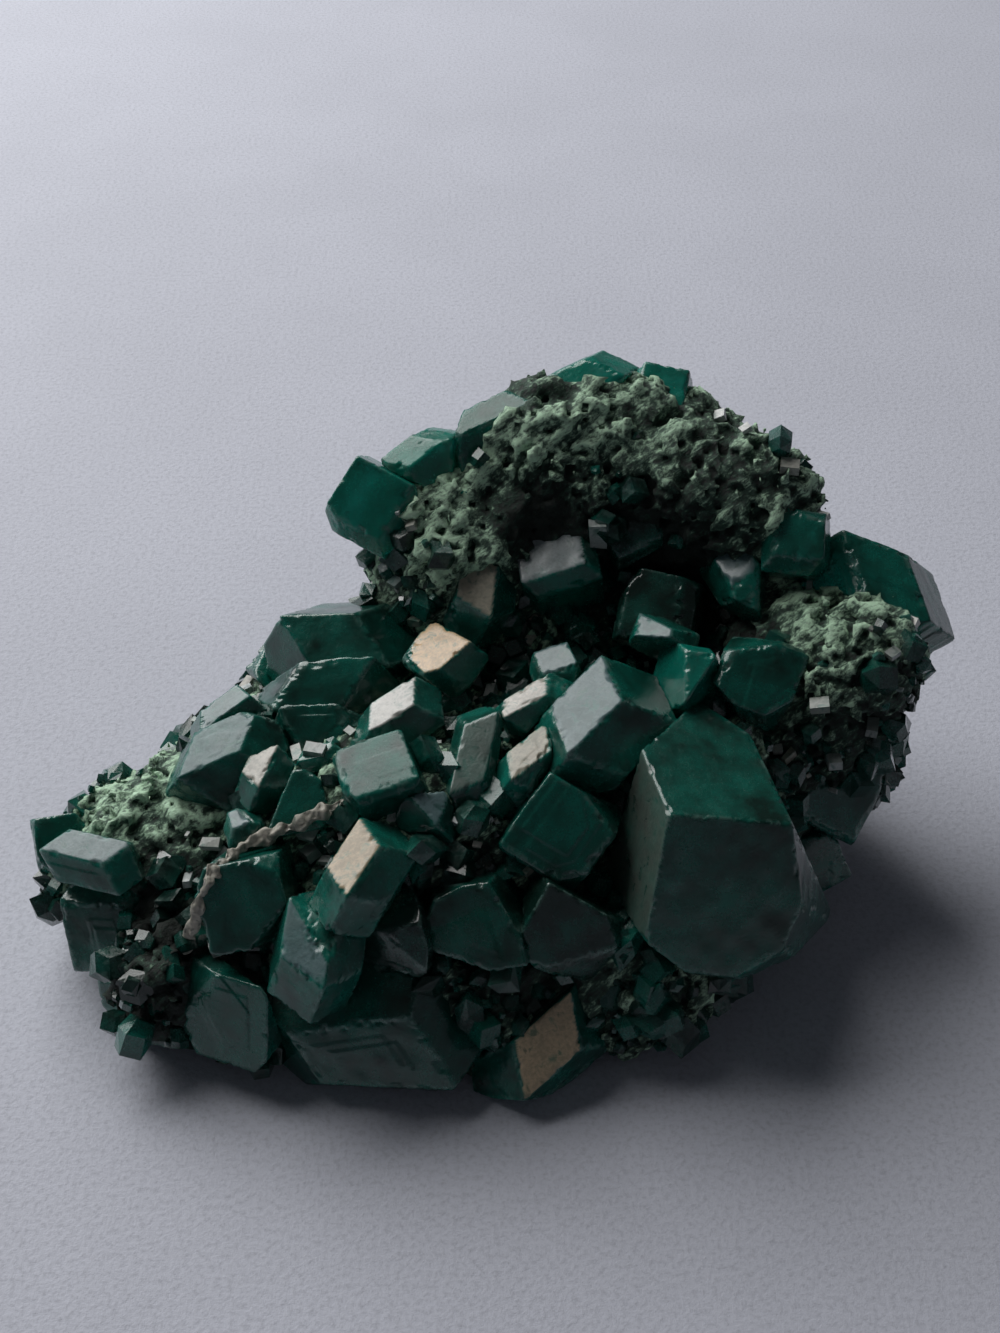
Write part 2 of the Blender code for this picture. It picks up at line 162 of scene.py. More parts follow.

# How much a crystal's base colour is painted with the glow of light let through it, from 0 for nearly black
# to 1 for bright emerald.
PAINTED_GLOWS = {
    "hood_teal": 1.0,
    "hood_tip": 0.8,
    "crown_emerald": 1.0,
    "crown_teal": 1.0,
    "green_spark": 1.0,
    "hood_rim": 0.6,
    "left_back": 0.5,
    "left_jaw": 0.4,
    "front_keel": 0.42,
    "rim_knob": 0.6,
    "right_prow": 0.45,
    "tail_tip": 0.7,
    "tail_block": 0.45,
    "tail_foot": 0.4,
    "shelf_middle": 0.5,
    "lens_upper": 0.5,
    "lens_middle": 0.55,
    "lens_lower": 0.5,
    "big_block": 0.38,
    "wall_left": 0.2,
    "wall_middle": 0.12,
    "wall_right": 0.12,
    "hollow_floor": 0.15,
    "hollow_back": 0.1,
    "back_left": 0.15,
    "back_shoulder": 0.15,
    "back_middle": 0.1,
    "back_right": 0.1,
    "back_foot": 0.1,
    "back_heel": 0.15,
}
USUAL_PAINTED_GLOW = 0.42

# How well a crystal's faces mirror the window: 0 for etched and dull, 1 for as smooth as glass.
GLOSSES = {
    "hood_rim": 0.0,
    "hood_teal": 0.1,
    "hood_tip": 0.3,
    "shelf_corner": 0.0,
    "right_prow": 0.05,
    "rim_knob": 0.4,
    "crown_emerald": 0.3,
    "crown_teal": 0.4,
    "left_pane": 0.25,
    "tail_plate": 0.35,
    "shelf_slab": 0.5,
    "golden_stub": 0.9,
    "pale_shard": 1.0,
    "shelf_ribbon": 1.0,
    "white_chip": 1.0,
    "big_block": 0.45,
    "front_foot": 0.2,
}
USUAL_GLOSS = 0.6

# The dull film on a crystal's brightest face, partly a real grey or iron film and partly a painted glare, the
# window's reflection in that face painted into its colour: how much it covers, how warm it is (0 for
# grey-blue, 1 for golden) and how much paler than usual.
FILM_GLARES = {
    "big_block": (0.4, 0.2, 0.0),
    "shelf_slab": (0.9, 0.0, 0.0),
    "shelf_post": (0.6, 0.15, 0.0),
    "shelf_corner": (0.1, 0.05, 0.0),
    "hollow_plate": (1.0, 0.0, 0.35),
    "hollow_pillar": (0.9, 0.4, 0.1),
    "tail_plate": (0.9, 0.0, 0.1),
    "left_pane": (0.7, 0.0, 0.0),
    "golden_stub": (1.0, 1.0, 0.12),
    "pale_shard": (1.0, 0.3, 0.5),
    "pink_chip": (1.0, 0.35, 0.35),
    "white_chip": (1.0, 0.1, 0.7),
    "shelf_ribbon": (1.0, 0.45, 0.45),
    "shelf_chip": (0.85, 0.4, 0.1),
    "edge_tile": (1.0, 0.55, 0.0),
    "front_foot": (0.9, 0.7, 0.1),
}
USUAL_FILM_GLARE = {
    "dioptase": (0.0, 0.0, 0.0),
    "tarnished_dioptase": (0.8, 0.0, 0.0),
    "iron_stained_dioptase": (1.0, 0.8, 0.0),
}

# The face that wears the film and its painted glare, where it isn't the one that faces the sky most squarely.
FILM_GLARE_FACES = {
    "big_block": (-0.85, -0.5, 0.15),
    "front_foot": (0.1, -0.7, 0.7),
    "hollow_plate": (-0.2, -0.35, 0.92),
    "hollow_pillar": (-0.1, -0.5, 0.86),
    "hollow_right": (-0.3, -0.3, 0.9),
    "shelf_post": (-0.1, -0.4, 0.9),
    "edge_wedge": (-0.2, -0.45, 0.87),
    "corner_wing": (0.25, -0.3, 0.92),
}

# How broken a crystal is: 0 for whole, 1 for the usual few chipped corners.
WEAR = {
    "big_block": 0.0,
    "shelf_slab": 0.0,
    "right_prow": 0.0,
    "hollow_plate": 0.0,
    "front_foot": 0.4,
    "front_keel": 0.8,
    "wall_left": 1.8,
    "wall_middle": 1.6,
    "wall_right": 2.0,
    "left_cheek": 1.6,
    "left_jaw": 1.6,
    "tail_block": 1.6,
    "tail_foot": 1.6,
    "shelf_middle": 1.2,
    "behind_block": 1.8,
    "right_flank": 1.6,
    "hood_tip": 1.2,
    "rim_knob": 1.5,
}
USUAL_WEAR = 1.0

# Large crystals without growth steps, and the share of the other crystals' faces that have them.
PLAIN_FACED = ("big_block", "shelf_slab", "hollow_plate")
STEPPED_SHARE = 0.35

# Patches of paler (above 0) and darker (below 0) host rock, partly its own tone and partly painted light and
# shade: paler on the lit upper rim of the hood, darker in the hollow under it and low down at the front, back
# and underside. The middle in mm, the reach in mm, and the tone.
ROCK_TONES_AND_PAINTED_LIGHT = (
    ((-4.5, 9.0, 27.0), 6.5, 0.3),
    ((2.0, 11.0, 31.5), 5.0, 0.25),
    ((2.5, 15.0, 33.5), 3.5, -0.6),
    ((21.5, 2.0, 23.0), 5.0, 0.45),
    ((7.0, 11.0, 31.5), 5.0, 0.15),
    ((-25.0, -9.0, 14.0), 6.5, 0.3),
    ((14.0, 9.0, 30.0), 6.0, -0.15),
    ((1.5, 8.0, 26.5), 3.2, -0.9),
    ((9.5, 6.0, 24.0), 6.0, -0.7),
    ((15.0, 2.0, 21.0), 6.0, -0.7),
    ((28.5, -4.0, 17.0), 6.0, -0.5),
    ((-22.0, -20.0, 6.0), 8.0, -0.7),
    ((-23.5, -15.5, 9.0), 5.0, -0.5),
    ((0.0, -19.0, 6.0), 13.0, -0.5),
    ((27.0, -5.0, 8.0), 9.0, -0.6),
    ((0.0, 24.0, 12.0), 16.0, -0.5),
    ((-20.0, 4.0, 6.0), 11.0, -0.45),
    ((22.0, 14.0, 14.0), 12.0, -0.45),
)

# The brightest flakes, painted near white as glints: the place and the size of each, in mm.
GLINTS = (
    ((7.3, 6.9, 25.4), (1.3, 0.6, 2.6)),
    ((16.5, 12.9, 32.0), (1.1, 0.8, 0.5)),
    ((18.1, 10.6, 32.3), (0.8, 0.6, 0.5)),
    ((23.7, 6.2, 27.6), (1.0, 0.6, 0.5)),
    ((-1.0, -13.7, 16.0), (1.0, 0.8, 0.6)),
    ((-13.1, -8.4, 17.7), (1.6, 0.9, 0.6)),
    ((-19.9, -18.9, 8.7), (1.4, 0.6, 0.7)),
)

# The route of the pale vein over the left-hand crystals, in mm.
VEIN_ROUTE = (
    (-22.0, -19.2, 8.0),
    (-21.4, -19.2, 10.0),
    (-20.7, -19.1, 12.8),
    (-19.7, -18.0, 14.9),
    (-18.3, -16.1, 15.3),
    (-16.8, -15.0, 15.3),
    (-15.1, -14.5, 15.9),
    (-13.4, -14.3, 16.6),
    (-11.5, -13.4, 17.1),
    (-10.6, -13.4, 17.6),
)

# Where the host rock is bare of small crystals: the middle and the reach, in mm.
BARE_PATCHES = (
    ((1.0, 11.0, 29.0), 11.0),
    ((17.0, 9.5, 28.0), 9.0),
    ((-25.5, -7.0, 13.0), 7.0),
    ((23.5, 0.5, 20.0), 8.0),
)


# ---------------------------------------------------------------- settings


def length(name, description, default):
    return bpy.props.FloatProperty(name=name, description=description, default=default, unit="LENGTH")


def colour(name, description, default):
    return bpy.props.FloatVectorProperty(
        name=name, description=description, default=default, subtype="COLOR", size=3
    )


class CrystalSizes(bpy.types.PropertyGroup):
    """How the crystals are grown."""

    cell: length("Surface cell", "Distance between neighbouring points of a crystal's surface", 0.00014)
    edge_radius: length("Edge radius", "Rounding of the edges between two crystal faces", 0.00007)
    growth: length(
        "Growth over the CAD face",
        "How far each face stands out, which closes the gap to its neighbour",
        0.0002,
    )
    terrace: length("Terrace height", "Height of the growth steps on a large crystal's faces", 0.00007)
    breakage: bpy.props.FloatProperty(
        name="Breakage",
        description="Depth of the broken corners, as a share of the crystal's half size",
        default=0.12,
        subtype="FACTOR",
    )
    chip: length("Chip depth", "Depth of the small chips along the edges", 0.00014)


class DruseSizes(bpy.types.PropertyGroup):
    """The small crystals, the flakes and the vein on the host rock."""

    druse_count: bpy.props.IntProperty(
        name="Small crystals",
        description="How many small crystals cover the host rock",
        default=2200,
    )
    druse_smallest: length("Smallest", "Width of the smallest of the small crystals", 0.0005)
    druse_largest: length("Largest", "Width of the largest of the small crystals", 0.0026)
    vein_width: length("Vein width", "Usual width of the pale vein", 0.00085)
    flake_count: bpy.props.IntProperty(
        name="Pale flakes",
        description="How many pale flakes lie between the crystals",
        default=240,
    )


class RockSizes(bpy.types.PropertyGroup):
    """How the host rock is worn."""

    voxel: length("Voxel", "Distance between neighbouring points of the rock's surface", 0.00042)
    inflation: length(
        "Fill", "How far the rock grows over its CAD shape, which closes the gap round each crystal", 0.0003
    )
    lumps: length("Lumps", "Depth of the coarse ledges and hollows", 0.0006)
    sponge: length("Sponge", "Depth of the fine spongy relief", 0.00045)
    pits: length("Pits", "Depth of the deep round pits", 0.0011)
    triangles: bpy.props.IntProperty(
        name="Triangles",
        description="How many triangles the rock's surface is thinned to",
        default=190000,
    )


class SpecimenColours(bpy.types.PropertyGroup):
    """Colours of the specimen and its table."""

    deep: colour("Deep green", "Body colour of a thick crystal", (0.008, 0.036, 0.027))
    # Emerald is the painted glow of light let through a thin crystal.
    emerald: colour("Emerald", "Body colour of a thin crystal or a lit edge", (0.004, 0.32, 0.235))
    # The grey bloom and the iron stain are film colours that also paint the window's glare on the faces that
    # mirror it; the palest film colour paints white glints.
    bloom_glare: colour("Grey bloom", "The dull grey film on a tarnished crystal", (0.18, 0.28, 0.3))
    iron: colour("Iron stain", "The beige film on an iron-stained crystal", (0.92, 0.62, 0.32))
    haze: colour("Haze", "The cloudy veils inside a crystal", (0.03, 0.09, 0.07))
    # The rim colour is partly the chipped edges' own colour and partly a painted highlight along the edges.
    rim: colour("Rim", "The paler, lightly chipped edges of a crystal", (0.16, 0.3, 0.26))
    cleavage_glint: colour("Cleavage", "The palest cleaved faces", (0.84, 0.85, 0.83))
    # The mint and the dark pit colour follow the rock's relief: the dark one is painted shade in its pits,
    # and the mint is partly a painted highlight on its crests.
    mint: colour("Mint crest", "The pale green crests of the host rock", (0.52, 0.76, 0.54))
    moss: colour("Moss green", "The middle green of the host rock", (0.03, 0.075, 0.05))
    dark_rock_and_pit_shade: colour("Pit", "The dark pits of the host rock", (0.006, 0.013, 0.009))
    table: colour("Table", "The pale lavender table", (0.56, 0.58, 0.66))


class StudioLight(bpy.types.PropertyGroup):
    """The window and the dim room."""

    power: bpy.props.FloatProperty(
        name="Window power",
        description="Power of the large soft window",
        default=4.2,
        unit="POWER",
    )
    width: length("Window width", "Side of the large soft window", 0.55)
    distance: length("Window distance", "Distance from the specimen to the window", 0.56)
    wash: bpy.props.FloatProperty(
        name="Wall wash",
        description="Power of the light on the wall behind the window, as a share of the window's",
        default=0.3,
    )
    room: bpy.props.FloatProperty(
        name="Room light",
        description="Brightness of the dim room around the table",
        default=0.036,
    )


# ---------------------------------------------------------------- meshes


def merged_mesh(node):
    """Points and triangles of a CAD node, with the doubled points of its loose triangles made one."""
    mesh = frame["nodes"][node].data
    points = np.empty(len(mesh.vertices) * 3, np.float32)
    mesh.vertices.foreach_get("co", points)
    mesh.calc_loop_triangles()
    triangles = np.empty(len(mesh.loop_triangles) * 3, np.int32)
    mesh.loop_triangles.foreach_get("vertices", triangles)
    keys = np.round(points.reshape(-1, 3) / SAME_POINT).astype(np.int64)
    _, first, index = np.unique(keys, axis=0, return_index=True, return_inverse=True)
    triangles = index.reshape(-1)[triangles].reshape(-1, 3)
    return points.reshape(-1, 3)[first].astype(float), triangles


def new_piece(name, points, faces, marks):
    """Puts arrays of points and faces into a mesh object, with one float attribute for each mark."""
    mesh = bpy.data.meshes.new(name)
    sides = faces.shape[1]
    mesh.vertices.add(len(points))
    mesh.vertices.foreach_set("co", points.astype(np.float32).ravel())
    mesh.loops.add(faces.size)
    mesh.loops.foreach_set("vertex_index", faces.astype(np.int32).ravel())
    mesh.polygons.add(len(faces))
    mesh.polygons.foreach_set("loop_start", np.arange(0, faces.size, sides, dtype=np.int32))
    mesh.polygons.foreach_set("use_smooth", np.ones(len(faces), bool))
    mesh.update(calc_edges=True)
    for mark, values in marks.items():
        layer = mesh.attributes.new(mark, "FLOAT", "POINT")
        layer.data.foreach_set("value", np.asarray(values, np.float32))
    piece = bpy.data.objects.new(name, mesh)
    bpy.context.scene.collection.objects.link(piece)
    return piece


def smooth_step(low, high, values):
    """0 below low, 1 above high, and the S-shaped cubic 3t^2 - 2t^3 between them."""
    t = np.clip((values - low) / (high - low), 0, 1)
    return t * t * (3 - 2 * t)


def wave_noise(points, wavelength, rng, waves=28):
    """Noise at scattered points: the sum of plane cosine waves in random directions, with unit variance."""
    directions = rng.normal(size=(waves, 3))
    directions /= np.linalg.norm(directions, axis=1, keepdims=True)
    lengths = wavelength * rng.uniform(0.6, 1.5, waves)
    phases = rng.uniform(0, 2 * math.pi, waves)
    total = np.cos(points @ (directions * (2 * math.pi / lengths[:, None])).T + phases)
    return total.sum(axis=1) * math.sqrt(2 / waves)


# ---------------------------------------------------------------- crystals


def flat_faces(node):
    """Corners of a convex crystal, and its flat faces' unit normals, middle points and plane distances."""
    points, triangles = merged_mesh(node)
    a, b, c = points[triangles].transpose(1, 0, 2)
    cross = np.cross(b - a, c - a)
    area = np.linalg.norm(cross, axis=1)
    found = []
    for k in np.argsort(-area):
        if area[k] < SLIVER:
            continue
        normal = cross[k] / area[k]
        middle = (a[k] + b[k] + c[k]) / 3
        for face in found:
            if face["normal"] @ normal > SAME_FACE:
                face["area"] += area[k]
                face["middle"] += middle * area[k]
                break
        else:
            found.append({"normal": normal, "area": area[k], "middle": middle * area[k]})
    normals = np.array([face["normal"] for face in found])
    middles = np.array([face["middle"] / face["area"] for face in found])
    distances = (points @ normals.T).max(axis=0)
    return points, normals, middles, distances


def cube_directions(count):
    """Directions over a ball on a grid of count cells for each side of a cube, and the grid's quads.

    Point (s, t) of a side, each from -1 to 1, looks along (tan(s pi/4), tan(t pi/4), 1), turned to the side.
    """
    line = np.tan(np.linspace(-1, 1, count + 1) * math.pi / 4)
    s, t = np.meshgrid(line, line, indexing="ij")
    s, t, one = s.ravel(), t.ravel(), np.ones(s.size)
    sides = [(one, s, t), (-one, t, s), (t, one, s), (s, -one, t), (s, t, one), (t, s, -one)]
    points = np.concatenate([np.stack(side, axis=1) for side in sides])
    step = count + 1
    corner = (np.arange(count)[:, None] * step + np.arange(count)).ravel()
    quad = np.stack([corner, corner + step, corner + step + 1, corner + 1], axis=1)
    quads = np.concatenate([quad + k * step * step for k in range(6)])
    _, first, index = np.unique(np.round(points, 6), axis=0, return_index=True, return_inverse=True)
    quads = index.reshape(-1)[quads]
    points = points[first]
    points /= np.linalg.norm(points, axis=1, keepdims=True)
    return points, quads


def reach(directions, normals, distances, power):
    """Distance from the centre to a convex body's surface along each direction.

    Each plane is met at distance / (normal . direction). The soft minimum (sum of 1/length^power)^(-1/power)
    rounds the edges.
    """
    closeness = np.maximum(directions @ normals.T, 1e-6) / distances
    largest = closeness.max(axis=1, keepdims=True)
    total = ((closeness / largest) ** power).sum(axis=1)
    return 1 / (largest[:, 0] * total ** (1 / power)), closeness


def terraces(points, k, faces, rng, height, count):
    """How far face k sinks at each point: outside each of a few low plateaus it drops one growth step.

    A plateau's sides run along the face's own edges, drawn in towards its middle by random shares.
    """
    normals, middles, distances = faces
    facing = normals @ normals[k]
    sides = np.flatnonzero(np.abs(facing) < SAME_WAY)
    along = normals[sides] - facing[sides, None] * normals[k]
    lengths = np.linalg.norm(along, axis=1)
    along /= lengths[:, None]
    to_edge = (distances[sides] - normals[sides] @ middles[k]) / lengths
    offsets = (points - middles[k]) @ along.T
    sunk = np.zeros(len(points))
    for _ in range(count):
        shares = rng.uniform(0.25, 1.5, len(sides))
        inside = (shares * to_edge - offsets).min(axis=1)
        sunk += height * rng.uniform(0.4, 1.0) * (1 - smooth_step(0, 0.2 * MM, inside))
    return sunk


def broken_corners(points, centre, faces, rng, count, depth):
    """The faces with count more, each a break that takes off a corner, depth deep on average."""
    normals, middles, distances = faces
    corners = points[rng.permutation(len(points))[:count]]
    outward = corners - centre
    outward /= np.linalg.norm(outward, axis=1, keepdims=True)
    outward += rng.normal(scale=0.35, size=outward.shape)
    outward /= np.linalg.norm(outward, axis=1, keepdims=True)
    reached = (points @ outward.T).max(axis=0)
    broken = reached - depth * rng.uniform(0.35, 1.6, len(outward))
    middle = centre + outward * (broken - outward @ centre)[:, None]
    normals = np.concatenate([normals, outward])
    middles = np.concatenate([middles, middle])
    return normals, middles, np.concatenate([distances, broken])


def crystal_planes(node, sizes):
    """A crystal's random draws, its corners, its middle and its planes, with the broken corners' planes."""
    rng = np.random.default_rng(sum(ord(letter) * (k + 7) for k, letter in enumerate(node)))
    points, *faces = flat_faces(node)
    centre = points.mean(axis=0)
    wear = WEAR.get(node, USUAL_WEAR)
    if wear > 0:
        extent = np.linalg.norm(points - centre, axis=1).mean()
        depth = sizes.breakage * extent * wear
        faces = broken_corners(points, centre, faces, rng, round(1 + 2 * wear), depth)
    return rng, points, centre, faces


def in_box(points):
    """The points, with those that would stand out of the CAD shape's box brought to its side."""
    return np.clip(points, BOX[0], BOX[1])


def crystal(node, sizes):
    """One crystal: a soft minimum of its CAD planes over a ball of directions, with steps and chips."""
    rng, points, centre, (normals, middles, distances) = crystal_planes(node, sizes)
    _, _, axes = np.linalg.svd(points - centre, full_matrices=False)
    spans = np.abs((points - centre) @ axes.T).max(axis=0)
    spans = np.maximum(spans, spans.max() * NARROWEST)
    size = spans.mean()
    count = int(np.clip(math.pi / 2 * size / sizes.cell, *GRID_CELLS))
    directions, quads = cube_directions(count)
    directions = (directions * spans) @ axes
    if np.linalg.det(axes) < 0:
        quads = quads[:, ::-1]
    directions /= np.linalg.norm(directions, axis=1, keepdims=True)
    grown = distances + sizes.growth * rng.uniform(0.7, 1.1) - normals @ centre
    power = float(np.clip(EDGE_POWER * grown.mean() / sizes.edge_radius, *POWER_LIMITS))
    length, closeness = reach(directions, normals, grown, power)
    surface = centre + directions * length[:, None]
    if node not in PLAIN_FACED:
        step = sizes.terrace * np.clip(size / LARGE_CRYSTAL, 0.5, 1.2)
        stepped = rng.uniform(0, 1, len(normals)) < STEPPED_SHARE
        sunk = np.zeros((len(surface), len(normals)))
        for k in np.flatnonzero(stepped):
            sunk[:, k] = terraces(surface, k, (normals, middles, distances), rng, step, 2)
        length, closeness = reach(directions, normals, np.maximum(grown - sunk, grown * 0.5), power)
        surface = centre + directions * length[:, None]
    gaps = np.sort(grown - (surface - centre) @ normals.T, axis=1)
    edge = 1 - smooth_step(0, EDGE_BAND, gaps[:, 1] - gaps[:, 0])
    rough = wave_noise(surface, 1.3 * MM, rng) + 0.6 * wave_noise(surface, 0.5 * MM, rng)
    chips = sizes.chip * edge * np.clip(rough - 0.5, 0, 1.6)
    ripple = RIPPLE * wave_noise(surface, 2.2 * MM, rng)
    surface = in_box(surface - directions * (chips - ripple)[:, None])
    # The film, with its painted glare, goes on the face nearest to the way that mirrors the window.
    film_glare_face = int(np.argmax(normals @ np.array(FILM_GLARE_FACES.get(node, SKYWARD))))
    cover, warmth, paleness = FILM_GLARES.get(node, USUAL_FILM_GLARE[SLOT_OF[node]])
    marks = {
        "edge": edge,
        "film_glare": cover * (closeness.argmax(axis=1) == film_glare_face),
        "warm": np.full(len(surface), warmth),
        "pale": np.full(len(surface), paleness),
        "painted_glow": np.full(len(surface), PAINTED_GLOWS.get(node, USUAL_PAINTED_GLOW)),
        "gloss": np.full(len(surface), GLOSSES.get(node, USUAL_GLOSS)),
        "shade": np.full(len(surface), rng.uniform(0, 1)),
    }
    piece = new_piece(node + "_crystal", surface, quads, marks)
    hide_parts(node)
    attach(piece, ROOT)
    return piece


# ---------------------------------------------------------------- host rock


def band_noise(shape, cell, longest, shortest, seed, stretch):
    """Noise on a block of voxels: white noise kept only between two wavelengths, with unit variance.

    Waves that run along STREAK count as stretch times shorter, so the lumps lie along it.
    """
    rng = np.random.default_rng(seed)
    spectrum = np.fft.rfftn(rng.standard_normal(shape, dtype=np.float32))
    fx = np.fft.fftfreq(shape[0], cell)[:, None, None]
    fy = np.fft.fftfreq(shape[1], cell)[None, :, None]
    fz = np.fft.rfftfreq(shape[2], cell)[None, None, :]
    along = fx * STREAK[0] + fy * STREAK[1] + fz * STREAK[2]
    square = fx**2 + fy**2 + fz**2 + (stretch**2 - 1) * along**2
    band = np.exp(-square * shortest**2) * (1 - np.exp(-square * longest**2))
    noise = np.fft.irfftn(spectrum * band, s=shape, axes=(0, 1, 2)).astype(np.float32)
    return noise / noise.std()


def shelter(shape, low, voxel, sizes):
    """Distance in mm from each voxel to the nearest crystal, below 0 inside: its largest plane distance."""
    nearest = np.full(shape, FAR, np.float32)
    for node in sorted(SLOT_OF):
        if node == ROCK_NODE:
            continue
        _, points, _, (normals, _, distances) = crystal_planes(node, sizes)
        first = np.maximum(np.floor(points.min(axis=0) / MM / voxel).astype(int) - low - 3, 0)
        last = np.minimum(np.ceil(points.max(axis=0) / MM / voxel).astype(int) - low + 4, shape)
        axes = [(np.arange(first[k], last[k]) + low[k]) * voxel for k in range(3)]
        places = np.stack(np.meshgrid(*axes, indexing="ij"), axis=-1)
        depth = (places @ normals.T - distances / MM).max(axis=-1)
        block = tuple(slice(first[k], last[k]) for k in range(3))
        nearest[block] = np.minimum(nearest[block], depth)
    return nearest


def host_rock(sizes, crystal_sizes):
    """The host rock: the CAD rock's distance field, grown a little and worn by billowed noise, meshed again.

    The noise fades out towards the crystals, and the rock grows a little way into them instead.
    """
    points, triangles = merged_mesh(ROCK_NODE)
    voxel = sizes.voxel / MM
    inflation = sizes.inflation / MM
    transform = openvdb.createLinearTransform(voxelSize=voxel)
    grid = openvdb.FloatGrid.createLevelSetFromPolygons(
        (points / MM).astype(np.float32),
        triangles=triangles.astype(np.uint32),
        transform=transform,
        exBandWidth=FAR / voxel,
        inBandWidth=FAR / voxel,
    )
    low = np.floor(points.min(axis=0) / MM / voxel).astype(int) - MARGIN
    high = np.ceil(points.max(axis=0) / MM / voxel).astype(int) + MARGIN
    shape = tuple(int(n) for n in high - low)
    field = np.empty(shape, np.float32)
    grid.copyToArray(field, ijk=tuple(int(n) for n in low))
    craggy, coarse, middle, fine, pitted = (band_noise(shape, voxel, *noise) for noise in ROCK_NOISES)
    vigour = 0.55 + 0.45 * np.clip(craggy + 0.4, 0, 1.6)
    relief = sizes.lumps / MM * (0.7 * (np.abs(craggy) - 0.8) + 0.7 * (np.abs(coarse) - 0.75))
    relief += sizes.sponge / MM * vigour * (1.1 * (np.abs(middle) - 0.7) + 0.7 * fine)
    relief -= sizes.pits / MM * smooth_step(0.75, 1.7, pitted)
    near = shelter(shape, low, voxel, crystal_sizes)
    open_air = smooth_step(0.0, SHELTERED, near)
    relief = np.clip(relief, *RELIEF_LIMITS) * open_air + BURIED * (1 - open_air)
    field = field - inflation - relief
    heights = (np.arange(shape[2]) + low[2]) * voxel
    field = np.maximum(field, -heights[None, None, :].astype(np.float32))
    worn = openvdb.FloatGrid(background=FAR)
    worn.transform = transform
    worn.copyFromArray(np.clip(field, -FAR, FAR), ijk=tuple(int(n) for n in low))
    surface, _, quads = worn.convertToPolygons(isovalue=0.0, adaptivity=0.0)
    surface = surface.astype(float)
    faces = np.concatenate([quads[:, [0, 1, 2]], quads[:, [0, 2, 3]]]).astype(np.int64)
    a, b, c = surface[faces].transpose(1, 0, 2)
    if np.einsum("ij,ij->i", a, np.cross(b, c)).sum() < 0:
        faces = faces[:, ::-1]
    at = np.clip(np.round(surface / voxel).astype(int) - low, 0, np.array(shape) - 1)
    # The relief at each point, which the finish turns into painted shade in the pits and painted light on the
    # crests.
    crest_light_pit_shade = relief[at[:, 0], at[:, 1], at[:, 2]]
    # Painted light and shade, as well as the rock's own paler and darker patches.
    tone_and_painted_light = np.zeros(len(surface))
    for middle_of, extent, value in ROCK_TONES_AND_PAINTED_LIGHT:
        apart = np.linalg.norm(surface - np.array(middle_of), axis=1) / extent
        tone_and_painted_light += value * np.exp(-(apart**2))
    marks = {
        "tone_and_painted_light": tone_and_painted_light,
        "crest_light_pit_shade": np.clip((crest_light_pit_shade + 1.1) / 1.9, 0, 1),
        "open": open_air[at[:, 0], at[:, 1], at[:, 2]],
    }
    piece = new_piece("spongy_host_rock", in_box(surface * MM), faces, marks)
    thinned = piece.modifiers.new("thinned", "DECIMATE")
    thinned.ratio = sizes.triangles / len(faces)
    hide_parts(ROCK_NODE)
    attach(piece, ROOT)
    return piece


# ---------------------------------------------------------------- small crystals


def rhomb_prism():
    """A six-sided prism one across and one long, closed by three sloping rhombs at each end.

    The ring's height is half_length - slope * radius / 2 under a raised corner and
    half_length - slope * radius under a lowered one, so that each rhomb is flat.
    """
    radius, slope = 0.55, 0.75
    turns = np.arange(6) * math.pi / 3
    raised = np.arange(6) % 2 == 0
    x, y = radius * np.cos(turns), radius * np.sin(turns)
    upper = 0.5 - slope * radius * np.where(raised, 0.5, 1.0)
    lower = -0.5 + slope * radius * np.where(raised, 1.0, 0.5)
    points = np.concatenate(
        [
            [[0, 0, 0.5]],
            np.stack([x, y, upper], axis=1),
            np.stack([x, y, lower], axis=1),
            [[0, 0, -0.5]],
        ]
    )
    quads = [(0, 1 + k - 1, 1 + k, 1 + (k + 1) % 6) for k in (1, 3, 5)]
    quads += [(7 + k, 7 + (k + 1) % 6, 1 + (k + 1) % 6, 1 + k) for k in range(6)]
    quads += [(13, 7 + (k + 1) % 6, 7 + k, 7 + (k - 1) % 6) for k in (0, 2, 4)]
    return points, np.array(quads)


def upright_frames(axes, rng):
    """Three perpendicular unit vectors for each axis, turned about it at random; the axis is the third."""
    other = rng.normal(size=axes.shape)
    first = np.cross(axes, other)
    first /= np.linalg.norm(first, axis=1, keepdims=True)
    return np.stack([first, np.cross(axes, first), axes], axis=2)


def rock_surface():
    """Points and normals of the host rock, and how open each point is, from 0 inside a crystal to 1."""
    mesh = bpy.data.objects["spongy_host_rock"].data
    points = np.empty(len(mesh.vertices) * 3, np.float32)
    mesh.vertices.foreach_get("co", points)
    normals = np.empty(len(mesh.vertices) * 3, np.float32)
    mesh.vertex_normals.foreach_get("vector", normals)
    openness = np.empty(len(mesh.vertices), np.float32)
    mesh.attributes["open"].data.foreach_get("value", openness)
    return points.reshape(-1, 3).astype(float), normals.reshape(-1, 3).astype(float), openness.astype(float)


def scatter(name, shape, places, frames, spans, rng, marks):
    """Copies of a small shape, each stretched by its spans, turned by its frame and set at its place."""
    points, quads = shape
    ragged = points[None] * (1 + rng.normal(scale=0.07, size=(len(places), len(points), 1)))
    placed = np.einsum("kij,knj->kni", frames, ragged * spans[:, None, :]) + places[:, None, :]
    faces = quads[None] + (np.arange(len(places)) * len(points))[:, None, None]
    spread = {mark: np.repeat(values, len(points)) for mark, values in marks.items()}
    piece = new_piece(name, in_box(placed.reshape(-1, 3)), faces.reshape(-1, quads.shape[1]), spread)
    piece.data.polygons.foreach_set("use_smooth", np.zeros(len(piece.data.polygons), bool))
    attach(piece, ROOT)
    return piece


def bareness(points):
    """1 on the patches of bare rock, falling to 0 past their edge."""
    bare = np.zeros(len(points))
    for middle, extent in BARE_PATCHES:
        apart = np.linalg.norm(points / MM - np.array(middle), axis=1) / extent
        bare = np.maximum(bare, np.exp(-(apart**6)))
    return bare


